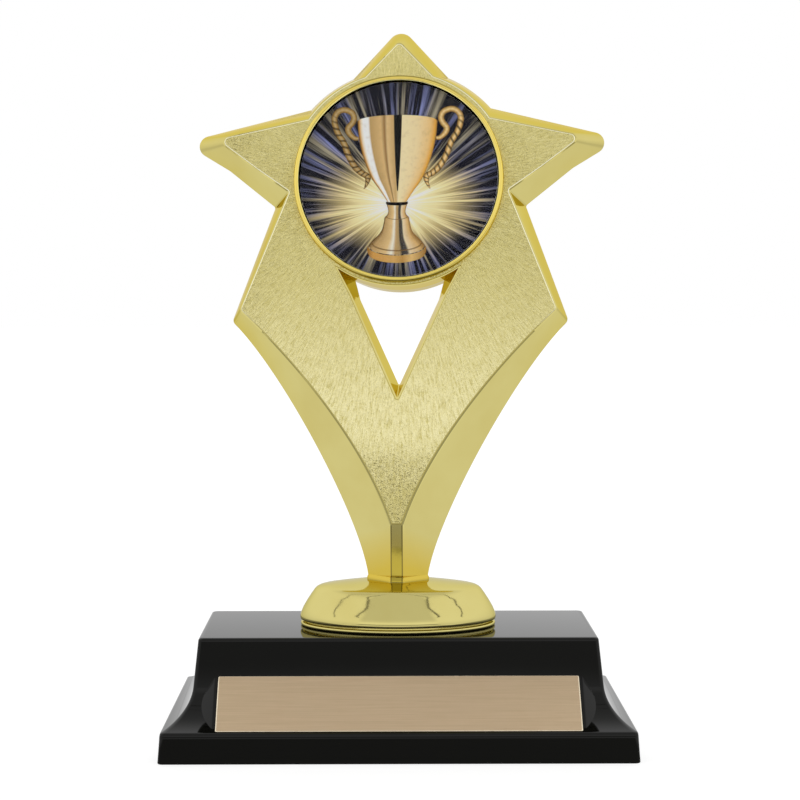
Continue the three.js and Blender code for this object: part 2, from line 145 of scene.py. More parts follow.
def rounded(corners, arc_steps=10):
    """Replaces each rounded corner of a closed outline by an arc that is tangent to both of its sides."""
    points = []
    for i, (x, y, radius) in enumerate(corners):
        here = Vector((x, y))
        if not radius:
            points.append(here)
            continue
        back = (Vector(corners[i - 1][:2]) - here).normalized()
        ahead = (Vector(corners[(i + 1) % len(corners)][:2]) - here).normalized()
        half = back.angle(ahead) / 2
        centre = here + (back + ahead).normalized() * radius / math.sin(half)
        start = here + back * radius / math.tan(half) - centre
        turn = math.copysign(math.pi - 2 * half, ahead.x * back.y - ahead.y * back.x)
        for step in range(arc_steps + 1):
            points.append(centre + Matrix.Rotation(turn * step / arc_steps, 2) @ start)
    return points


def inset(points, distance):
    """Moves every side of a closed anticlockwise outline inwards by the same distance."""
    moved = []
    for i, here in enumerate(points):
        side_in = (here - points[i - 1]).normalized()
        side_out = (points[(i + 1) % len(points)] - here).normalized()
        normal_in, normal_out = Vector((-side_in.y, side_in.x)), Vector((-side_out.y, side_out.x))
        mitre = (normal_in + normal_out).normalized()
        moved.append(here + mitre * distance / max(mitre.dot(normal_in), 0.5))
    return moved


def between(low, high, t):
    return [p.lerp(q, t) for p, q in zip(low, high)]


def mirrored(right_side, tip):
    return right_side + [tip] + [(-x, y, r) for x, y, r in reversed(right_side)]


def disc_arc(radius, start, end, steps):
    """Points round the disc's centre; angles run clockwise from straight up."""
    angles = [start + (end - start) * i / steps for i in range(steps + 1)]
    return [corner(radius * math.sin(a), DISC_V + radius * math.cos(a)) for a in angles]


def circle(radius, steps=ROUND_STEPS, centre=(0.0, 0.0)):
    turns = [2 * math.pi * i / steps for i in range(steps)]
    return [Vector((centre[0] + radius * math.cos(a), centre[1] + radius * math.sin(a))) for a in turns]


def disc_circle(radius):
    return circle(radius, centre=(0.0, DISC_V))


def ellipse(half_x, half_y, steps=128):
    turns = [2 * math.pi * i / steps for i in range(steps)]
    return [Vector((half_x * math.cos(a), half_y * math.sin(a))) for a in turns]


def rounded_rectangle(half_x, half_y, radius, arc_steps=8):
    return rounded([corner(half_x, -half_y, radius), corner(half_x, half_y, radius),
                    corner(-half_x, half_y, radius), corner(-half_x, -half_y, radius)], arc_steps)


def bezier(points, steps):
    p0, p1, p2, p3 = [Vector(p) for p in points]
    curve = []
    for i in range(steps + 1):
        t = i / steps
        curve.append(p0 * (1 - t) ** 3 + p1 * 3 * t * (1 - t) ** 2 + p2 * 3 * t * t * (1 - t) + p3 * t ** 3)
    return curve


SILHOUETTE = dict(leg=[(7.5, 0), (9.2, 14.6), (30.5, 53.5), (43.5, 66)], elbow=1.6, armpit=(32.6, 96.1, 0.8),
                  under_arm=(44.8, 106, 6), tip=(57.3, 113.7, 2.8), ring=(31.1, 0.858, 0.414),
                  apex=(144.1, 3.4))
FACE = dict(leg=[(1.4, 13), (8, 32.6), (25.2, 53.5), (40.6, 67.8)], elbow=1.4, armpit=(28.4, 98.5, 0.6),
            under_arm=(36.5, 104.2, 6), tip=(47.6, 112.6, 1.6), ring=(28.4, 0.973, 0.318), apex=(138.2, 1.4))
LEG_STEPS = 60
NECK_OVERRUN = 3.0
PLATEAU_START_V = 13.0


def figure_outline(shape, tail=True):
    """The outline from the neck up the right side, over the apex and down. The raised face has no tail."""
    leg = [corner(p.x, p.y) for p in bezier(shape["leg"], LEG_STEPS)]
    leg[-1] = corner(*leg[-1][:2], shape["elbow"])
    if tail:
        leg.insert(0, corner(leg[0][0], -NECK_OVERRUN))
    right = leg + [shape["armpit"], shape["under_arm"], shape["tip"]] + disc_arc(*shape["ring"], 30)
    return rounded(mirrored(right, corner(0, *shape["apex"])))


def hole_outline(tip_v, side, ring_radius, ceiling):
    arc = disc_arc(ring_radius, math.pi - ceiling, math.pi, 24)
    right = [corner(*side, 4)] + arc[:-1]
    return rounded([corner(0, tip_v, 0.25)] + mirrored(right, arc[-1]))


HOLE_MIDDLE = hole_outline(49.2, (10.2, 71.6), 27.6, 0.43)
HOLE_FACE = hole_outline(44.8, (11.9, 71.6), 27.9, 0.6)
HOLE_BACK = hole_outline(44.8, (11.9, 71.6), 26.9, 0.6)


# ---- the figure ----
def neck_share(v):
    """How much of the figure's full depth is left at v, on the taper that runs down to the neck."""
    fall = max(PLATEAU_START_V - v, 0) / PLATEAU_START_V
    return 1 - (1 - NECK_HALF_DEPTH / HALF_DEPTH) * fall


def tapered(points, face, h):
    """A ring at height h, thinned at the neck by where its points end up on the face."""
    return [(p.x, p.y, h * neck_share(q.y)) for p, q in zip(points, face)]


def cap(builder, loops, h, look, spacing=None, relief=None, margin=0.35):
    """A flat face bounded by an outline and its holes, with a fine net of points for its relief."""
    outline, holes = loops[0], loops[1:]
    points, rings = [], []
    for loop in loops:
        rings.append(list(range(len(points), len(points) + len(loop))))
        points.extend(loop)
    boundary = len(points)
    if spacing:
        points.extend(net_points(outline, holes, spacing, margin))
    verts, _, faces, _, _, sources = delaunay_2d_cdt(points, [], rings, 1, 1e-7)
    inside = [f for f, source in zip(faces, sources) if 0 in source and len(source) == 1]
    lift = [relief(v.x, v.y) if relief and i >= boundary else 0.0 for i, v in enumerate(verts)]
    builder.add([(v.x, v.y, h * neck_share(v.y) + d) for v, d in zip(verts, lift)], inside, look)


def net_points(outline, holes, spacing, margin):
    """A triangular net inside the outline, clear of every edge by the margin."""
    shrunk = [inset(outline, margin)] + [inset(hole, -margin) for hole in holes]
    low = min(p.y for p in outline)
    rows = int((max(p.y for p in outline) - low) / (spacing * 0.866))
    net = []
    for row in range(1, rows):
        y = low + row * spacing * 0.866
        spans = sorted(x for loop in shrunk for x in crossings(loop, y))
        for left, right in zip(spans[::2], spans[1::2]):
            first = math.ceil(left / spacing - row % 2 / 2)
            x = (first + row % 2 / 2) * spacing
            while x < right:
                net.append(Vector((x, y)))
                x += spacing
    return net


def crossings(loop, y):
    """Where a level line crosses a closed outline."""
    found = []
    for i, q in enumerate(loop):
        p = loop[i - 1]
        if (p.y > y) != (q.y > y):
            found.append(p.x + (q.x - p.x) * (y - p.y) / (q.y - p.y))
    return found


def coarseness(u, v):
    """0 where the hammering is fine, 1 where it is coarse: at the arm tips and the V's tip."""
    arm = min(1.0, max(0.0, (abs(u) - 31) / 9)) * (1.0 if u < 0 else 0.45)
    tip = min(1.0, max(0.0, (31 - v) / 7))
    return max(arm, tip)


def hammered(u, v):
    """Relief of the raised face: pebbles and streaks that run away from the disc."""
    reach = math.hypot(u, v - DISC_V)
    angle = math.atan2(u, v - DISC_V)
    pebbles = noise.noise(Vector((angle * reach * 1.1, reach * 0.62, 3.0)))
    streaks = noise.noise(Vector((angle * 62, reach * 0.26, 7.0)))
    grain = noise.noise(Vector((u * 2, v * 2, 9.0)))
    return 0.11 * coarseness(u, v) * pebbles + 0.032 * streaks + 0.014 * grain


def side_rings(middle, face, top):
    """The drafted sides of one half, from the parting plane to the shelf below its raised face."""
    rings = [at_height(inset(middle, 0.12), 0.0), at_height(middle, 0.14)]
    for t, h in ((0.03, 0.5), (0.5, 0.51 * top), (0.96, top - 0.16), (0.985, top - 0.05), (1.0, top)):
        rings.append(tapered(between(middle, face, t), face, h))
    return rings


def plateau_rings(outline, bottom, top):
    """A raised face's small step with a rounded lip."""
    steps = ((0.0, bottom), (0.02, top - 0.2), (0.06, top - 0.09), (0.13, top - 0.025), (0.24, top))
    return [at_height(inset(outline, d), h) for d, h in steps]


def figure_half(shelf, hole_face):
    """The drafted sides, hole walls and shelf of one half, built towards the viewer."""
    half = Builder()
    middle, face = figure_outline(SILHOUETTE), figure_outline(FACE)
    half.loft(side_rings(middle, face, shelf))
    hole = [at_height(between(HOLE_MIDDLE, hole_face, h / HALF_DEPTH), h) for h in (0.0, shelf * 0.5, shelf)]
    half.loft([ring[::-1] for ring in hole])
    hole_top = [Vector(p[:2]) for p in hole[-1]]
    cap(half, [face, hole_top, disc_circle(DISC_RADIUS + 0.3)], shelf, 0)
    return half


def add_plateau(half, shelf, hole_face, look, lip_look, spacing, relief, inner_radius):
    outline = inset(figure_outline(FACE, tail=False), 0.28)
    hole = inset(hole_face, -0.3)
    half.loft(plateau_rings(outline, shelf - 0.05, HALF_DEPTH), lip_look)
    half.loft([ring[::-1] for ring in plateau_rings_of_hole(hole, shelf - 0.05, HALF_DEPTH)])
    top_outline = inset(outline, 0.24)
    top_hole = inset(hole, -0.24)
    cap(half, [top_outline, top_hole, disc_circle(inner_radius)], HALF_DEPTH, look, spacing, relief)


def plateau_rings_of_hole(hole, bottom, top):
    steps = ((0.0, bottom), (0.02, top - 0.2), (0.06, top - 0.09), (0.13, top - 0.025), (0.24, top))
    return [at_height(inset(hole, -d), h) for d, h in steps]


def add_bead(half):
    """The rounded ring that holds the disc, with a fine inner step."""
    profile = [(BEAD_FOOT_RADIUS + 0.02, HALF_DEPTH - 0.3), (26.93, HALF_DEPTH + 0.35)]
    for i in range(9):
        a = math.radians(10 + 20 * i)
        profile.append((26.28 + 0.62 * math.cos(a), HALF_DEPTH + 0.62 + 0.62 * math.sin(a)))
    profile += [(25.66, HALF_DEPTH + 0.3), (25.62, HALF_DEPTH - 1.6)]
    half.loft([at_height(disc_circle(r), h) for r, h in profile], 2)


def make_star_front(gold, textured, bead_gold, lip_gold):
    shelf = HALF_DEPTH - PLATEAU_STEP
    half = figure_half(shelf, HOLE_FACE)
    add_plateau(half, shelf, HOLE_FACE, 1, 3, 0.42, hammered, BEAD_FOOT_RADIUS)
    add_bead(half)
    obj = half.make("star_front", [gold, textured, bead_gold, lip_gold], TO_FIGURE)
    trim_below(obj, NECK_Z)
    return obj


def make_star_back(gold):
    shelf = HALF_DEPTH - PLATEAU_STEP
    half = figure_half(shelf, HOLE_BACK)
    add_plateau(half, shelf, HOLE_BACK, 0, 0, None, None, DISC_RADIUS + 0.3)
    rim = ((25.7, 0), (25.5, 0.05), (25.4, 0.3), (25.3, 0.9))
    half.loft([at_height(disc_circle(r), HALF_DEPTH - depth) for r, depth in rim])
    half.fan(at_height(disc_circle(rim[-1][0]), HALF_DEPTH - rim[-1][1]))
    obj = half.make("star_back", [gold], TO_FIGURE @ Matrix.Rotation(math.pi, 4, "Y"))
    trim_below(obj, NECK_Z)
    return obj


# ---- the foot ----
FOOT_TOP = NECK_Z - 0.3 - DECK_Z


def make_foot(gold):
    """An oval dome with a rolled rim above a fine groove. Rings are half width, half depth and height."""
    lower_lip = [(24.3, 14.6, 0.02), (24.62, 14.92, 0.12), (24.74, 15.04, 0.4), (24.74, 15.04, 0.75)]
    groove = [(24.55, 14.85, 0.95), (23.7, 14.0, 1.02), (23.7, 14.0, 1.4)]
    rim = [(24.5, 14.8, 1.46), (24.8, 15.1, 1.62), (24.9, 15.2, 2.0), (24.88, 15.18, 2.5), (24.7, 15.0, 3.2)]
    flank = [(24.1, 14.4, 4.6), (23.05, 13.3, 6.4), (22.0, 12.35, 8.0), (21.5, 11.9, 8.7)]
    shoulder = [(21.1, 11.45, 9.25), (20.6, 11.0, 9.7), (19.9, 10.4, 10.05), (18.9, 9.85, 10.3)]
    top = [(15.5, 8.9, 10.7), (12, 8.1, 11.0), (9.5, 7.4, 11.3), (7, 6.2, FOOT_TOP)]
    profile = lower_lip + groove + rim + flank + shoulder + top
    rings = [at_height(ellipse(a, b), DECK_Z + h) for a, b, h in profile]
    foot = Builder()
    foot.loft(rings)
    foot.fan(rings[0], flip=True)
    foot.fan(rings[-1])
    return foot.make("foot", [gold], smooth_angle=60)


def neck_section(out, rise):
    """A level slice of the leaning neck, grown outwards."""
    middle_y = rise * math.tan(LEAN)
    depth = NECK_HALF_DEPTH
    right = [corner(1.45, middle_y - depth, 0.8), corner(7.55, middle_y, 0.7),
             corner(1.45, middle_y + depth, 0.8)]
    left = [(-x, y, r) for x, y, r in reversed(right)]
    return at_height(inset(rounded(right + left, 6), -out), rise)


def make_collar(gold):
    """The small rolled collar that the neck stands in."""
    section = ((-0.3, -1.6), (0.35, -1.3), (0.62, -0.6), (0.7, -0.1), (0.66, 0.3), (0.52, 0.65), (0.3, 0.92),
               (0.08, 1.08), (-0.12, 1.3), (-0.4, 1.5))
    collar = Builder()
    collar.loft([neck_section(out, rise) for out, rise in section])
    return collar.make("neck_collar", [gold], TO_NECK, smooth_angle=60)


# ---- the plinth ----
DECK_HALF = Vector((49.1, 18.75))
STEP_HALF = Vector((57.2, 31.8))
FOOTPRINT_HALF = Vector((57.65, 32.25))
COVE = [(0.137, 16), (0.19, 11.6), (0.56, 8.6), (0.975, 7.3)]
PLINTH_CORNER = 1.1


def curve(a, b, c, steps=6):
    """A quadratic bend from a to c that heads for b."""
    return [a * (1 - t) ** 2 + b * 2 * t * (1 - t) + c * t * t for t in (i / steps for i in range(steps + 1))]


def level(half, z):
    return Vector((half.x, half.y, z))


def plinth_levels():
    """Half width, half depth and height of each ring, from the underside to the deck."""
    inward = Vector((1, 1))
    cove = [level(DECK_HALF.lerp(STEP_HALF, p.x), p.y) for p in bezier(COVE, 24)][::-1]
    edge = 0.35
    bottom = curve(level(FOOTPRINT_HALF - edge * inward, 0), level(FOOTPRINT_HALF, 0),
                   level(FOOTPRINT_HALF, edge), 4)
    step = curve(level(STEP_HALF + 0.05 * inward, 6.0), level(STEP_HALF, 7.05), cove[0])
    wall_top = DECK_HALF + 0.03 * inward
    deck = curve(level(wall_top, DECK_Z - 0.9), level(wall_top, DECK_Z),
                 level(wall_top - 0.95 * inward, DECK_Z))
    return bottom + step + cove[1:] + deck


CAVITY = [(55.2, 29.9, 0), (55, 29.7, 4.4), (53, 27.6, 5.4), (50.6, 23.2, 7.3), (48.6, 20.2, 9.9),
          (47.9, 18.1, 14), (46.9, 16.5, 25.2)]
PANEL_TOP = -PLATE_THICKNESS / 2 - 0.12
PANEL_HALF = Vector((44.9, 8.4))
PANEL_DEPTH = 3.2
PANEL_FLARE = math.radians(52)


def make_base(black):
    base = Builder()
    rings = [at_height(rounded_rectangle(p.x, p.y, PLINTH_CORNER), p.z) for p in plinth_levels()]
    cavity = [at_height(rounded_rectangle(x, y, PLINTH_CORNER), z) for x, y, z in CAVITY]
    base.loft([cavity[0]] + rings)
    base.fan(rings[-1])
    base.loft([ring[::-1] for ring in cavity])
    base.fan(cavity[-1], flip=True)
    obj = base.make("base", [black], smooth_angle=50)

    wedge = Builder()
    flare = math.tan(PANEL_FLARE)
    levels = [(PANEL_DEPTH * flare, -PANEL_DEPTH), (0.25 * flare, -0.25), (0.03, -0.06), (-0.05, -0.01),
              (-0.15, 0)]
    slopes = []
    for out, drop in levels:
        outline = rounded_rectangle(PANEL_HALF.x + out, PANEL_HALF.y + min(out, 0.1), 0.5)
        slopes.append(at_height(outline, PANEL_TOP + drop))
    wedge.loft(slopes)
    wedge.fan(slopes[0], flip=True)
    wedge.fan(slopes[-1])
    panel = wedge.make("base_panel", [black], TO_PLATE, smooth_angle=50)
    return obj, panel


def make_plate(metal, cut_edge):
    plate = Builder()
    low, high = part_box("engraving_plate")
    half_x = (high.x - low.x) / 2 / MM
    half_y = PLATE_HALF_HEIGHT
    half_t = PLATE_THICKNESS / 2
    edge = [(0, -half_t), (0, half_t - 0.2), (0.08, half_t - 0.1), (0.18, half_t - 0.03), (0.28, half_t)]
    rings = [at_height(rounded_rectangle(half_x - d, half_y - d, 0.35), h) for d, h in edge]
    plate.loft(rings, 1)
    plate.fan(rings[0], 1, flip=True)
    plate.fan(rings[-1])
    return plate.make("plate", [metal, cut_edge], TO_PLATE, smooth_angle=60)


# ---- the picture disc ----
TO_DISC = TO_FIGURE @ Matrix.Translation((0, DISC_V * MM, 0))
PICTURE_H = 7.7
LENS_BOTTOM = 8.0
LENS_STEPS = 24


def lathe(builder, profile, look=0, steps=ROUND_STEPS):
    """Rings of [radius, height]; the ends are closed by flat faces."""
    rings = [at_height(circle(r, steps), h) for r, h in profile]
    builder.loft(rings, look)
    builder.fan(rings[0], look, flip=True)
    builder.fan(rings[-1], look)


def make_picture(sunburst):
    disc = Builder()
    edge = ((0.1, -0.5), (0, -0.4), (0, -0.08), (0.08, 0))
    lathe(disc, [(DISC_RADIUS - inwards, PICTURE_H + rise) for inwards, rise in edge])
    return disc.make("picture", [sunburst], TO_DISC)


def make_lens(clear):
    lens = Builder()
    crown, edge = 1.2, 0.12
    dome = [(DISC_RADIUS - 0.1, LENS_BOTTOM), (DISC_RADIUS, LENS_BOTTOM + 0.08)]
    for i in range(LENS_STEPS + 1):
        share = 1 - i / LENS_STEPS
        dome.append((max(DISC_RADIUS * share, 0.05), LENS_BOTTOM + edge + crown * (1 - share * share)))
    lathe(lens, dome)
    return lens.make("lens", [clear], TO_DISC, smooth_angle=60)


# ---- the cup printed on the picture ----
CUP_AXIS = -0.35
PRINT_STEP = 0.03
BOWL = [(2.3, -6.2), (4.25, -3.2), (6.35, -0.2), (8.0, 3.5), (9.2, 7.3), (9.95, 11.1), (10.3, 15.1)]
BOWL_STRIPE = [(0.12, -3.2), (0.5, 2), (0.75, 7), (0.9, 11.1), (1.05, 16.7)]
CUP_FOOT = [(7.2, -17.3), (6.1, -16), (4.05, -13.8), (3.3, -11.3), (3.1, -10.1), (2.45, -9.4), (2.2, -8.3),
            (2.75, -6.3)]
CUP_RING = [(7.45, -19.2), (7.55, -18.3), (7.45, -17.4)]
CUP_COLLAR = [(2.5, -6.8), (2.8, -6.5), (2.75, -6.0)]
HANDLE = [(10.0, 10.6), (11.0, 10.7), (12.3, 11.9), (12.7, 13.3), (11.7, 14.6), (11.2, 16), (11.9, 17.5),
          (13.9, 18.2), (15.6, 17.4), (16.3, 15.4), (15.4, 12.2), (13.8, 9.5), (12.6, 6.2), (10.9, 3.2),
          (9.1, 1.5), (7.6, 0.6), (7.7, -1.1), (8.5, -2.7)]


def through(places, steps=8):
    """A smooth curve through every place."""
    p = [Vector(q) for q in (places[0], *places, places[-1])]
    line = []
    for a, b, c, d in zip(p, p[1:], p[2:], p[3:]):
        for t in (i / steps for i in range(steps)):
            bend = (a * 2 - b * 5 + c * 4 - d) * t * t + (b * 3 - a - c * 3 + d) * t ** 3
            line.append((b * 2 + (c - a) * t + bend) / 2)
    return line + [p[-1]]


def decal(name, rows, layer, look):
    """A printed shape made of rows of places. Its UV map runs across the rows in U and along them in V."""
    across = len(rows[0])
    height = PICTURE_H + PRINT_STEP * layer
    points = [Vector((x, y, height)) * MM for row in rows for x, y in row]
    faces = []
    for r in range(len(rows) - 1):
        for i in range(across - 1):
            a = r * across + i
            faces.append((a, a + 1, a + 1 + across, a + across))
    mesh = bpy.data.meshes.new(name)
    mesh.from_pydata(points, [], faces)
    uv = mesh.uv_layers.new(name="UVMap")
    for corner_of_face in mesh.loops:
        row, column = divmod(corner_of_face.vertex_index, across)
        uv.data[corner_of_face.index].uv = (column / (across - 1), row / (len(rows) - 1))
    mesh.transform(TO_DISC)
    mesh.materials.append(look)
    obj = bpy.data.objects.new(name, mesh)
    bpy.context.scene.collection.objects.link(obj)
    return obj


def turned_rows(profile, bow_low, bow_high, shift=0.0, columns=24):
    """Rows across a round shape seen from the front: each bows up or down in the middle as its rings do."""
    rows = []
    line = through(profile)
    for i, (half, v) in enumerate(line):
        bow = bow_low + (bow_high - bow_low) * i / (len(line) - 1)
        spans = [2 * c / columns - 1 for c in range(columns + 1)]
        rows.append([(CUP_AXIS + shift + half * s, v + bow * math.sqrt(1 - s * s)) for s in spans])
    return rows


def handle_rows(side):
    """A ribbon along the handle, thinning to a point at its tail."""
    line = through(HANDLE, 7)
    rows = []
    for i, here in enumerate(line):
        ahead = (line[min(i + 1, len(line) - 1)] - line[max(i - 1, 0)]).normalized()
        share = i / (len(line) - 1)
        half = 0.8 * min(1.0, 0.6 + share * 3, (1 - share) * 9 + 0.08)
        across = [here + Vector((ahead.y, -ahead.x)) * half * t for t in (-1, -0.5, 0, 0.5, 1)]
        rows.append([(CUP_AXIS + side * p.x, p.y) for p in across[::-side]])
    return rows[::-1]


def make_cup(bowl, stripe, foot, ring, handle):
    shapes = (("cup_handle_left", handle_rows(-1), 1, handle),
              ("cup_handle_right", handle_rows(1), 1, handle),
              ("cup_bowl", turned_rows(BOWL, 0.0, 1.6), 2, bowl),
              ("cup_stripe", turned_rows(BOWL_STRIPE, 0.0, 0.0, 0.12, 6), 3, stripe),
              ("cup_foot", turned_rows(CUP_FOOT, -2.5, 0.0), 2, foot),
              ("cup_ring", turned_rows(CUP_RING, -2.7, -2.6), 3, ring),
              ("cup_collar", turned_rows(CUP_COLLAR, -0.2, -0.2), 3, stripe))
    return [decal(*shape) for shape in shapes]


# ---- the felt ----
def make_felt(look):
    """The green pad under the base, with a soft edge and the lie of its nap."""
    low, high = (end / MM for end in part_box("felt_pad"))
    half_x, half_y = (high.x - low.x) / 2, (high.y - low.y) / 2
    felt = Builder()
    edge = ((0.45, low.z), (0.12, low.z + 0.14), (0.0, low.z + 0.5),
            (0.0, high.z - 0.4), (0.12, high.z - 0.1), (0.4, high.z))
    rings = [at_height(rounded_rectangle(half_x - d, half_y - d, PLINTH_CORNER), h) for d, h in edge]
    felt.loft(rings)
    felt.fan(rings[0], flip=True)
    felt.fan(rings[-1])
    obj = felt.make("felt_sheet", [look], smooth_angle=60)
    return obj


# ---- materials ----
class Graph:
    """Adds nodes to a material. A value may be a socket, which is linked, or a constant."""

    def __init__(self, name):
        self.material = bpy.data.materials.new(name)
        self.material.use_nodes = True
        self.tree = self.material.node_tree
        self.shader = self.tree.nodes["Principled BSDF"]

    def set(self, node, **values):
        for name, value in values.items():
            socket = node.inputs[int(name[1:])] if name[0] == "_" else node.inputs[name.replace("_", " ")]
            if isinstance(value, bpy.types.NodeSocket):
                self.tree.links.new(value, socket)
            else:
                socket.default_value = value
        return node

    def add(self, kind, settings=None, **values):
        node = self.tree.nodes.new("ShaderNode" + kind)
        for name, value in (settings or {}).items():
            setattr(node, name, value)
        return self.set(node, **values)

    def math(self, operation, a, b=0.0, c=0.0, clamp=False):
        settings = dict(operation=operation, use_clamp=clamp)
        return self.add("Math", settings, _0=a, _1=b, _2=c).outputs[0]

    def noise(self, vector, scale, detail=2.0, roughness=0.5):
        node = self.add("TexNoise", Vector=vector, Scale=scale, Detail=detail, Roughness=roughness)
        return node.outputs["Fac"]

    def spread(self, value, low, high, to_low=0.0, to_high=1.0):
        node = self.add("MapRange", _0=value, _1=low, _2=high, _3=to_low, _4=to_high)
        return node.outputs[0]

    def mix(self, factor, a, b):
        node = self.add("Mix", dict(data_type="RGBA"))
        self.set(node, _0=factor, _6=rgba(a), _7=rgba(b))
        return node.outputs[2]

    def ramp(self, value, stops, interpolation="LINEAR"):
        node = self.add("ValToRGB", None, Fac=value)
        node.color_ramp.interpolation = interpolation
        elements = node.color_ramp.elements
        while len(elements) < len(stops):
            elements.new(0.5)
        for element, (place, color) in zip(elements, stops):
            element.position = place
            element.color = rgba(color)
        return node.outputs["Color"]

    def bump(self, height, strength, distance):
        return self.add("Bump", None, Strength=strength, Distance=distance, Height=height).outputs[0]

    def place(self):
        return self.add("TexCoord").outputs["Object"]

    def finish(self, **values):
        self.set(self.shader, **values)
        return self.material


def rgba(color):
    return color if isinstance(color, bpy.types.NodeSocket) or len(color) == 4 else (*color, 1.0)


def smooth(g, value, low, high, to_low=0.0, to_high=1.0):
    settings = dict(interpolation_type="SMOOTHSTEP")
    node = g.add("MapRange", settings, _0=value, _1=low, _2=high, _3=to_low, _4=to_high)
    return node.outputs[0]


def blend(g, factor, a, b):
    return g.add("Mix", dict(data_type="FLOAT"), _0=factor, _2=a, _3=b).outputs[0]


def band(g, value, middle, half_width):
    """1 within half_width of the middle and 0 outside."""
    offset = g.math("ABSOLUTE", g.math("SUBTRACT", value, middle))
    return smooth(g, offset, half_width, half_width * 1.6, 1.0, 0.0)


GOLD = (0.70, 0.62, 0.235)
GOLD_DEEP = (0.66, 0.57, 0.20)
GOLD_EDGE = (0.86, 0.74, 0.34, 1.0)
PALE_EDGE = (0.80, 0.77, 0.56, 1.0)
STRIP_HALF = 1.4


def disc_place(g):
    """Where a point is on the figure's face: across, up, distance from the disc's centre and angle round it."""
    away = g.add("VectorMath", dict(operation="SUBTRACT"), _0=g.place(), _1=TO_DISC.translation).outputs[0]
    right, up = TO_DISC.col[0].to_3d(), TO_DISC.col[1].to_3d()
    u = g.add("VectorMath", dict(operation="DOT_PRODUCT"), _0=away, _1=right).outputs["Value"]
    v = g.add("VectorMath", dict(operation="DOT_PRODUCT"), _0=away, _1=up).outputs["Value"]
    reach = g.math("SQRT", g.math("ADD", g.math("MULTIPLY", u, u), g.math("MULTIPLY", v, v)))
    return u, v, reach, g.math("ARCTAN2", u, v)


def polished_gold(name, edge_tint):
    """Metallised plastic, mirror-like with a faint orange peel. Painted reflection: a deeper yellow on the
    lower neck. Painted shade: a darker strip with dark edge lines down its front.
    """
    g = Graph(name)
    haze = g.noise(g.place(), 55, 3, 0.6)
    peel = g.noise(g.place(), 420, 2)
    rise = g.add("SeparateXYZ", None, Vector=g.place()).outputs[2]
    u, v, _, _ = disc_place(g)
    off_middle = g.math("ABSOLUTE", u)
    arched = g.math("ADD", rise, g.math("MULTIPLY", haze, 0.006))
    drift = g.math("ADD", arched, g.math("MULTIPLY", off_middle, 0.5))
    # Painted reflection: the lower neck is painted a deeper yellow for the gold it reflects, fading out
    # upwards.
    above = g.spread(drift, (NECK_Z + 8) * MM, (NECK_Z + 18) * MM, 1.0, 0.0)
    on_neck = g.math("GREATER_THAN", rise, (NECK_Z - 0.25) * MM)
    neck = g.math("MULTIPLY", above, on_neck)
    plain = g.mix(g.spread(haze, 0.35, 0.7), GOLD, GOLD_DEEP)
    # Painted reflection of gold: the deeper yellow on the lower neck.
    color = g.mix(neck, plain, (0.68, 0.51, 0.08))
    # Painted shade: a darker strip down the neck's front below the raised face, strongest low down, with dark
    # lines along its edges.
    below_face = g.math("MULTIPLY", g.math("LESS_THAN", v, (PLATEAU_START_V - DISC_V) * MM), on_neck)
    strip = g.math("MULTIPLY", below_face, g.math("LESS_THAN", off_middle, STRIP_HALF * MM))
    edge = g.math("MULTIPLY", below_face, band(g, off_middle, STRIP_HALF * MM, 0.00012))
    lift = g.spread(v, (PLATEAU_START_V - 6 - DISC_V) * MM, (PLATEAU_START_V - 5 - DISC_V) * MM, 0.8, 0.0)
    # Painted shade: the darker strip.
    color = g.mix(g.math("MULTIPLY", strip, lift), color, (0.44, 0.35, 0.05))
    # Painted shade: dark lines along the strip's edges.
    color = g.mix(g.math("MULTIPLY", edge, 0.8), color, (0.14, 0.11, 0.03))
    return g.finish(Base_Color=color, Metallic=1.0, Roughness=g.spread(haze, 0.3, 0.75, 0.05, 0.11),
                    Specular_Tint=edge_tint, Normal=g.bump(peel, 0.1, 0.0001))


def bead_metal():
    """The ring's rolled edge, the most polished part, painted a bright yellow as a painted reflection of the
    gold face, with painted shade on its outer flank at top and bottom and a painted highlight on its inner
    flank.
    """
    g = Graph("bead_gold")
    haze = g.noise(g.place(), 90, 3, 0.6)
    _, v, reach, _ = disc_place(g)
    upright = g.math("ABSOLUTE", g.math("DIVIDE", v, reach))
    # Painted shade: the outer flank darkened at the top and bottom of the ring.
    painted_shade_outer = g.math("MULTIPLY", g.spread(reach, 0.02635, 0.0266), g.spread(upright, 0.55, 0.95))
    # Painted highlight: the inner flank painted pale.
    inner = g.spread(reach, 0.0259, 0.0257)
    # Painted reflection: the bright yellow stands in for the gold face that the bead reflects.
    color = g.mix(haze, (0.98, 0.78, 0.20), (0.84, 0.66, 0.15))
    # Painted shade on the outer flank.
    color = g.mix(g.math("MULTIPLY", painted_shade_outer, 0.8), color, (0.30, 0.25, 0.05))
    # Painted highlight on the inner flank.
    color = g.mix(inner, color, (0.80, 0.76, 0.36))
    return g.finish(Base_Color=color, Metallic=1.0, Roughness=g.spread(haze, 0.3, 0.75, 0.04, 0.1),
                    Specular_Tint=GOLD_EDGE, Normal=g.bump(haze, 0.05, 0.0001))


def lip_metal():
    """The raised face's edge: painted near white on the star's arms as a painted highlight, and painted darker
    down the legs.
    """
    g = Graph("lip_gold")
    wear = g.noise(g.place(), 300, 3, 0.6)
    _, v, _, _ = disc_place(g)
    # Painted highlight: the lip is painted near white from the top of the legs upwards and darker down the
    # legs, with a wavering boundary.
    painted_highlight = smooth(g, g.math("ADD", v, g.math("MULTIPLY", wear, 0.008)), -0.036, -0.026)
    color = g.mix(painted_highlight, (0.58, 0.50, 0.17), (1.0, 0.96, 0.68))
    return g.finish(Base_Color=color, Metallic=1.0, Roughness=g.spread(wear, 0.3, 0.7, 0.08, 0.16),
                    Specular_Tint=PALE_EDGE, Normal=g.bump(wear, 0.1, 0.0001))


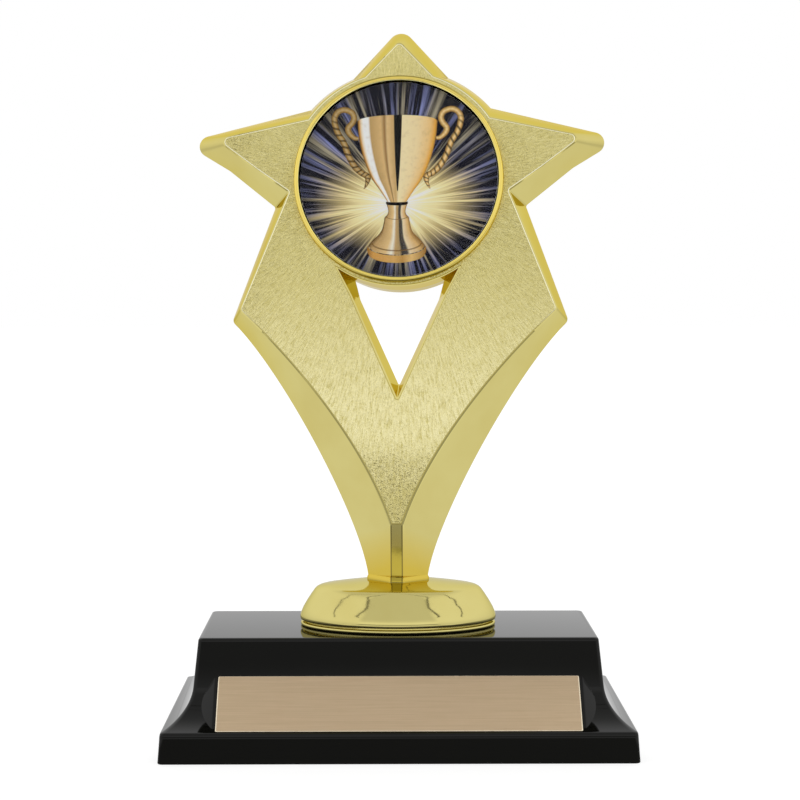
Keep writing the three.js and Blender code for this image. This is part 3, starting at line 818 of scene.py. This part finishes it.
def hammered_gold():
    """The raised face: fine pebbles that stretch into streaks away from the disc, with painted shade in the
    relief's valleys and pits and a painted reflection on the V's crests.
    """
    g = Graph("hammered_gold")
    u, v, reach, angle = disc_place(g)
    along = g.math("MULTIPLY", reach, 210)
    across = g.math("MULTIPLY", angle, 95)
    streak_place = g.add("CombineXYZ", None, X=across, Y=along).outputs[0]
    streaks = g.noise(streak_place, 1.4, 3, 0.65)
    pebbles = g.noise(g.place(), 1500, 3, 0.65)
    lumps = g.noise(g.place(), 2300, 2, 0.6)
    coarse = g.math("MAXIMUM", g.spread(u, -0.031, -0.042), g.spread(v, -0.066, -0.0735))
    rough_part = g.math("MULTIPLY", coarse, lumps)
    height = g.math("ADD", g.math("MULTIPLY", streaks, 0.85), g.math("MULTIPLY", pebbles, 0.45))
    # Painted shade: the relief's valleys are painted darker than its crests.
    shade = g.spread(height, 0.48, 0.84)
    crests = g.spread(height, 0.46, 0.74)
    height = g.math("ADD", height, rough_part)
    # Painted shade: dark pits in the coarse hammering at the arm tips and the V's tip.
    pits = g.math("MULTIPLY", coarse, g.spread(lumps, 0.44, 0.36))
    # Painted reflection: a band across the V below the disc, where the relief's crests are painted paler.
    painted_reflection_v = g.math("MULTIPLY", g.spread(v, -0.026, -0.058), g.spread(v, -0.082, -0.066))
    # Painted shade in the valleys.
    plain = g.mix(shade, (0.66, 0.575, 0.205), (0.86, 0.775, 0.36))
    # Painted reflection on the V's crests.
    painted_highlight = g.mix(g.math("MULTIPLY", painted_reflection_v, crests), plain, (0.98, 0.90, 0.49))
    # Painted shade in the pits.
    color = g.mix(g.math("MULTIPLY", pits, 0.6), painted_highlight, (0.28, 0.24, 0.09))
    return g.finish(Base_Color=color, Metallic=1.0, Roughness=g.spread(pebbles, 0.3, 0.7, 0.15, 0.27),
                    Specular_Tint=GOLD_EDGE, Normal=g.bump(height, 1.0, 0.00045))


def gloss_black():
    """Moulded high-gloss black with the odd faint scuff."""
    g = Graph("gloss_black")
    scuffs = g.noise(g.place(), 90, 4, 0.7)
    flow = g.noise(g.place(), 25, 2)
    color = g.mix(flow, (0.0008, 0.0009, 0.0004), (0.002, 0.002, 0.001))
    return g.finish(Base_Color=color, Roughness=g.spread(scuffs, 0.35, 0.8, 0.03, 0.07), IOR=1.33,
                    Normal=g.bump(flow, 0.05, 0.0003))


def brushed_tan():
    """Anodised tan metal, brushed along the plate's length."""
    g = Graph("brushed_tan")
    stretched = g.add("VectorMath", dict(operation="MULTIPLY"), _0=g.place(), _1=(60, 3200, 3200)).outputs[0]
    brush = g.noise(stretched, 1.0, 3, 0.6)
    soft = g.noise(g.place(), 160, 3, 0.6)
    color = g.mix(brush, (0.50, 0.375, 0.235), (0.66, 0.50, 0.325))
    return g.finish(Base_Color=color, Metallic=0.85, Roughness=g.spread(soft, 0.3, 0.7, 0.36, 0.5),
                    Normal=g.bump(brush, 0.3, 0.00006))


RAY_CENTRE_DROP = 6.5
PRINT_GLOSS = 0.08
GLOW_COLORS = [(0.0, (1, 1, 1)), (0.28, (1, 0.92, 0.5)), (0.62, (0.90, 0.70, 0.30)), (1.0, (0.4, 0.34, 0.24))]


def sunburst_print():
    """The picture's ground: fine rays round a pale glow that sits a little under the middle."""
    g = Graph("sunburst_print")
    u, v, reach, _ = disc_place(g)
    low = g.math("ADD", v, RAY_CENTRE_DROP * MM)
    wide = g.math("MULTIPLY", u, 0.62)
    glow_reach = g.math("SQRT", g.math("ADD", g.math("MULTIPLY", wide, wide), g.math("MULTIPLY", low, low)))
    angle = g.math("ARCTAN2", low, u)
    drift = g.math("MULTIPLY", reach, 1.5)
    turn = g.add("CombineXYZ", None, X=g.math("COSINE", angle), Y=g.math("SINE", angle), Z=drift).outputs[0]
    fine = g.noise(turn, 21, 3, 0.7)
    broad = g.noise(turn, 4.5, 2)
    tint = g.noise(turn, 8.0, 2, 0.6)
    ray = g.spread(g.math("ADD", g.math("MULTIPLY", fine, 0.72), g.math("MULTIPLY", broad, 0.28)), 0.47, 0.61)
    streak = g.mix(g.spread(tint, 0.42, 0.54), (0.28, 0.31, 0.60), (0.44, 0.39, 0.27))
    dark = g.mix(ray, (0.004, 0.004, 0.012), streak)
    edge_of_glow = g.math("SUBTRACT", glow_reach, g.math("MULTIPLY", ray, 0.0045))
    fade = g.spread(edge_of_glow, 0.0002, 0.014)
    glow = g.ramp(fade, GLOW_COLORS)
    lit = g.mix(g.spread(fade, 0.42, 0.98, 1.0, 0.0), dark, glow)
    rim = g.math("MULTIPLY", g.spread(reach, 0.020, 0.0256), 0.45)
    color = g.mix(rim, lit, (0.003, 0.003, 0.008))
    return g.finish(Base_Color=color, Roughness=0.35, Specular_IOR_Level=PRINT_GLOSS)


def across_print(name, stops, shade=(0.45, 0.28, 0.10), ring_lines=()):
    """A printed metal part: its colours run across it, with the faint mottle of the print."""
    g = Graph(name)
    uv = g.add("SeparateXYZ", None, Vector=g.add("TexCoord").outputs["UV"]).outputs
    mottle = g.noise(g.place(), 900, 2)
    color = g.mix(g.spread(mottle, 0.5, 0.9, 0.0, 0.3), g.ramp(uv[0], stops), shade)
    for middle in ring_lines:
        color = g.mix(g.math("MULTIPLY", band(g, uv[1], middle, 0.01), 0.75), color, (0.22, 0.11, 0.03))
    return g.finish(Base_Color=color, Roughness=0.35, Specular_IOR_Level=PRINT_GLOSS,
                    Normal=g.bump(mottle, 0.03, 0.00005))


def handle_print():
    """The handles: a twisted rope whose turns leave dark notches."""
    g = Graph("handle_print")
    uv = g.add("SeparateXYZ", None, Vector=g.add("TexCoord").outputs["UV"]).outputs
    twist = g.math("ADD", g.math("MULTIPLY", uv[1], 190), g.math("MULTIPLY", uv[0], 3.2))
    notch = g.spread(g.math("SINE", twist), 0.1, 0.85)
    lower = g.spread(uv[1], 0.52, 0.44)
    body = g.ramp(uv[0], [(0, (0.14, 0.07, 0.015)), (0.25, (0.72, 0.42, 0.12)), (0.5, (0.98, 0.76, 0.36)),
                          (0.75, (0.76, 0.46, 0.14)), (1, (0.20, 0.10, 0.02))])
    left = g.spread(g.add("SeparateXYZ", None, Vector=g.place()).outputs[0], 0.002, -0.002, 0.0, 0.45)
    shaded = g.mix(left, body, (0.16, 0.09, 0.02))
    depth = g.math("ADD", g.math("MULTIPLY", lower, 0.7), 0.12)
    color = g.mix(g.math("MULTIPLY", notch, depth), shaded, (0.05, 0.025, 0.01))
    return g.finish(Base_Color=color, Roughness=0.35, Specular_IOR_Level=PRINT_GLOSS)


BOWL_COLORS = [(0, (0.1, 0.05, 0.01)), (0.02, (0.72, 0.36, 0.07)), (0.045, (0.95, 0.85, 0.65)),
               (0.07, (1, 1, 0.97)), (0.13, (1, 1, 0.97)), (0.155, (0.58, 0.37, 0.14)),
               (0.29, (0.8, 0.54, 0.23)), (0.335, (0.34, 0.18, 0.06)), (0.365, (0.82, 0.58, 0.27)),
               (0.46, (0.68, 0.44, 0.17)), (0.56, (1, 0.86, 0.5)), (0.76, (1, 0.8, 0.44)),
               (0.92, (0.96, 0.64, 0.26)), (0.975, (0.92, 0.46, 0.07)), (1, (0.45, 0.2, 0.04))]
FOOT_COLORS = [(0, (0.1, 0.05, 0.01)), (0.05, (0.6, 0.38, 0.15)), (0.3, (0.88, 0.62, 0.28)),
               (0.4, (1, 0.95, 0.78)), (0.47, (0.62, 0.4, 0.16)), (0.56, (0.5, 0.34, 0.15)),
               (0.6, (0.05, 0.045, 0.04)), (0.7, (0.09, 0.08, 0.07)), (0.74, (0.95, 0.78, 0.5)),
               (0.93, (0.8, 0.5, 0.18)), (1, (0.28, 0.13, 0.03))]
RING_COLORS = [(0, (0.35, 0.16, 0.03)), (0.1, (0.74, 0.38, 0.09)), (0.45, (0.8, 0.47, 0.14)),
               (0.6, (0.62, 0.33, 0.08)), (0.75, (0.9, 0.6, 0.22)), (1, (0.4, 0.18, 0.03))]
DARK_COLORS = [(0, (0.03, 0.02, 0.01)), (0.2, (0.004, 0.004, 0.004)), (0.8, (0.006, 0.005, 0.004)),
               (1, (0.05, 0.035, 0.02))]


def clear_resin():
    g = Graph("clear_resin")
    ripple = g.noise(g.place(), 120, 2)
    return g.finish(Base_Color=(1, 1, 1, 1), Roughness=0.0, IOR=1.15, Transmission_Weight=1.0,
                    Normal=g.bump(ripple, 0.02, 0.0001))


def plain_part(name, light, dark, metallic, roughness, scale, bump):
    """A hidden part: two tones, patchy roughness and a fine surface."""
    g = Graph(name)
    grain = g.noise(g.place(), scale, 4, 0.65)
    patches = g.noise(g.place(), scale * 0.15, 3)
    color = g.mix(g.spread(grain, 0.35, 0.7), dark, light)
    return g.finish(Base_Color=color, Metallic=metallic, Normal=g.bump(grain, bump, 0.0002),
                    Roughness=g.spread(patches, 0.3, 0.7, roughness, roughness + 0.15))


def felt_nap():
    """Pressed green wool: fine crossed fibres and soft patches."""
    g = Graph("felt_nap")
    stretched = [g.add("VectorMath", dict(operation="MULTIPLY"), _0=g.place(), _1=scale).outputs[0]
                 for scale in ((420, 3000, 900), (3000, 420, 900))]
    fibres = g.math("MAXIMUM", g.noise(stretched[0], 1.0, 4, 0.7), g.noise(stretched[1], 1.0, 4, 0.7))
    patches = g.noise(g.place(), 90, 3)
    color = g.mix(g.spread(fibres, 0.4, 0.75), (0.003, 0.012, 0.006), (0.016, 0.06, 0.028))
    return g.finish(Base_Color=color, Roughness=g.spread(patches, 0.3, 0.7, 0.85, 1.0), Sheen_Weight=0.5,
                    Sheen_Roughness=0.5, Normal=g.bump(fibres, 0.9, 0.0004))


# Each look: its nodes, light and dark tone, metallic, least roughness, grain scale and bump.
HIDDEN_LOOKS = {
    "steel": (("threaded_rod", "clamp_washer", "lock_washer", "hex_nut", "cover_screw_1", "cover_screw_2",
               "cover_screw_3", "cover_screw_4"),
              (0.62, 0.63, 0.65), (0.48, 0.49, 0.52), 1.0, 0.25, 900, 0.15),
    "brass": (("neck_insert",), (0.72, 0.55, 0.24), (0.58, 0.42, 0.16), 1.0, 0.25, 800, 0.15),
    "iron": (("ballast_weight",), (0.10, 0.098, 0.09), (0.04, 0.038, 0.035), 0.7, 0.6, 500, 0.8),
    "fibreboard": (("bottom_cover",), (0.075, 0.055, 0.038), (0.028, 0.02, 0.014), 0.0, 0.75, 700, 0.6),
    "foam": (("insert_adhesive_pad", "plate_adhesive_tape"),
             (0.75, 0.73, 0.67), (0.55, 0.53, 0.48), 0.0, 0.8, 1400, 0.6),
}


def dress_cad_nodes():
    """Gives the CAD parts that stay their finished materials."""
    for name, (nodes, *numbers) in HIDDEN_LOOKS.items():
        look = plain_part("finish_" + name, *numbers)
        for node in nodes:
            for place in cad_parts[node].material_slots:
                place.material = look


# ---- assembly ----
def show(obj, slot, *nodes):
    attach(obj, "root")
    if nodes:
        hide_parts(*nodes)
    return obj


polished, hammered_look, black = polished_gold("polished_gold", GOLD_EDGE), hammered_gold(), gloss_black()
show(make_star_front(polished, hammered_look, bead_metal(), lip_metal()), "gold", "star_front_shell")
show(make_star_back(polished), "gold", "star_back_shell")
show(make_foot(polished_gold("foot_gold", PALE_EDGE)), "gold", "pedestal_foot")
show(make_collar(polished), "gold")
base, base_panel = make_base(black)
show(base, "black", "base_shell")
show(base_panel, "black")
plate_edge = plain_part("plate_edge", (0.95, 0.84, 0.64), (0.85, 0.73, 0.54), 1.0, 0.15, 900, 0.1)
show(make_plate(brushed_tan(), plate_edge), "plate_metal", "engraving_plate")
show(make_picture(sunburst_print()), "picture", "printed_insert_disc")
cup_looks = (across_print("bowl_print", BOWL_COLORS), across_print("dark_print", DARK_COLORS, (0, 0, 0)),
             across_print("foot_print", FOOT_COLORS, ring_lines=(0.1, 0.64)),
             across_print("ring_print", RING_COLORS), handle_print())
for printed in make_cup(*cup_looks):
    show(printed, "picture")
show(make_lens(clear_resin()), "clear_resin", "insert_dome_lens")
show(make_felt(felt_nap()), "felt", "felt_pad")
dress_cad_nodes()


# ---- stage, light and camera ----
TENT_RADIUS = 4.0


def glow_material(name, build):
    """A light-giving material whose strength comes from a function of its graph."""
    g = Graph(name)
    g.tree.nodes.remove(g.shader)
    emission = g.add("Emission", None, Color=(1, 1, 1, 1), Strength=build(g))
    g.tree.links.new(emission.outputs[0], g.tree.nodes["Material Output"].inputs["Surface"])
    return g.material


def tent_strength(g):
    """A light tent: dim low down in front, white above that, a greyer roof, and bright boxes to both sides."""
    direction = g.add("VectorMath", dict(operation="NORMALIZE"), _0=g.place()).outputs[0]
    parts = g.add("SeparateXYZ", None, Vector=direction).outputs
    rise = g.math("MULTIPLY", g.math("ARCSINE", parts[2]), 180 / math.pi)
    ahead = g.math("MULTIPLY", parts[1], -1.0)
    turn = g.math("ABSOLUTE", g.math("MULTIPLY", g.math("ARCTAN2", parts[0], ahead), 180 / math.pi))
    low = smooth(g, rise, 6, 10, 0.42, 1.03)
    front = g.math("MINIMUM", low, smooth(g, rise, 16, 34, 1.03, 0.74))
    box = smooth(g, rise, -5, 25, 0.82, 1.0)
    side = g.math("MINIMUM", box, smooth(g, rise, 50, 72, 1.0, 0.74))
    back = smooth(g, turn, 95, 150, 1.0, 1.02)
    beside = g.math("MULTIPLY", side, back)
    strength = blend(g, smooth(g, turn, 28, 34), front, beside)
    wave = g.math("MULTIPLY", g.math("SINE", g.math("MULTIPLY", rise, 0.28)), 3.0)
    swayed = g.math("ADD", turn, wave)
    frame_line = g.math("MULTIPLY", band(g, swayed, 33.5, 0.9), smooth(g, rise, 33, 37))
    outer_line = g.math("MULTIPLY", band(g, swayed, 63, 0.7), smooth(g, rise, 26, 30))
    lines = g.math("MAXIMUM", frame_line, outer_line)
    return g.math("MULTIPLY", strength, g.math("SUBTRACT", 1.0, g.math("MULTIPLY", lines, 0.85)))


def table_strength(g):
    """What polished parts see of the table: dark close in front, then pale, a faint band, and dim far off."""
    x, y, _ = g.add("SeparateXYZ", None, Vector=g.place()).outputs
    away = g.math("SQRT", g.math("ADD", g.math("MULTIPLY", x, x), g.math("MULTIPLY", y, y)))
    ahead = g.math("MULTIPLY", y, -1.0)
    plain = smooth(g, away, 0.25, 0.7, 0.9, 0.75)
    shine = g.math("MULTIPLY", smooth(g, ahead, 0.19, 0.23), smooth(g, ahead, 0.42, 0.5, 1.0, 0.0))
    dim = smooth(g, ahead, 0.45, 0.6)
    lit = g.math("ADD", plain, g.math("MULTIPLY", shine, 0.15))
    far = blend(g, dim, lit, 0.42)
    near = g.math("MULTIPLY", smooth(g, ahead, 0.02, 0.03), smooth(g, ahead, 0.115, 0.125, 1.0, 0.0))
    within = smooth(g, g.math("ABSOLUTE", x), 0.07, 0.1, 1.0, 0.0)
    slant = g.math("DIVIDE", g.math("ABSOLUTE", x), g.math("MAXIMUM", ahead, 0.001))
    ahead_only = smooth(g, slant, 0.9, 1.3, 1.0, 0.0)
    table = blend(g, ahead_only, plain, far)
    return blend(g, g.math("MULTIPLY", near, within), table, 0.3)


def stage_plane(name, half, material):
    mesh = bpy.data.meshes.new(name)
    corners = [(-half, -half, 0), (half, -half, 0), (half, half, 0), (-half, half, 0)]
    mesh.from_pydata(corners, [], [(0, 1, 2, 3)])
    mesh.materials.append(material)
    return stage_object(name, mesh)


def stage_object(name, mesh):
    obj = bpy.data.objects.new(name, mesh)
    bpy.context.scene.collection.objects.link(obj)
    return obj


def make_stage():
    """A white table, a light tent, and the table's sheen as polished parts see it."""
    g = Graph("table_white")
    white = g.finish(Base_Color=(0.3, 0.3, 0.3, 1), Roughness=0.9,
                     Emission_Color=(1, 1, 1, 1), Emission_Strength=0.76)
    floor = stage_plane("floor", TENT_RADIUS, white)
    floor.visible_glossy = False
    sheen = stage_plane("table_sheen", TENT_RADIUS, glow_material("table_sheen", table_strength))
    sheen.visible_camera = False
    sheen.visible_diffuse = False
    sheen.visible_shadow = False
    sheen.visible_transmission = False

    mesh = bpy.data.meshes.new("light_tent")
    bm = bmesh.new()
    bmesh.ops.create_icosphere(bm, subdivisions=4, radius=TENT_RADIUS)
    bm.to_mesh(mesh)
    bm.free()
    mesh.materials.append(glow_material("light_tent", tent_strength))
    tent = stage_object("light_tent", mesh)
    tent.visible_camera = False
    tent.visible_shadow = False
    tent.visible_diffuse = False
    for glowing in (tent, sheen):
        glowing.data.materials[0].cycles.emission_sampling = "NONE"

    world = bpy.data.worlds.new("studio")
    world.use_nodes = True
    world.node_tree.nodes["Background"].inputs["Color"].default_value = (1, 1, 1, 1)
    world.node_tree.nodes["Background"].inputs["Strength"].default_value = 1.0
    bpy.context.scene.world = world
    bpy.context.scene.view_settings.view_transform = "Standard"


def make_camera():
    """The photo's view: a long lens from straight in front, a little above the trophy's middle."""
    cam = bpy.data.cameras.new("camera")
    cam.lens = 80.72
    cam.sensor_width = 36
    cam.clip_start, cam.clip_end = 0.01, 50
    obj = bpy.data.objects.new("camera", cam)
    bpy.context.scene.collection.objects.link(obj)
    obj.location = Vector((-4.138, -452.638, 114.653)) * MM
    obj.rotation_euler = (math.pi / 2 - 0.065782, 0, -0.010228)
    bpy.context.scene.camera = obj


make_stage()
make_camera()
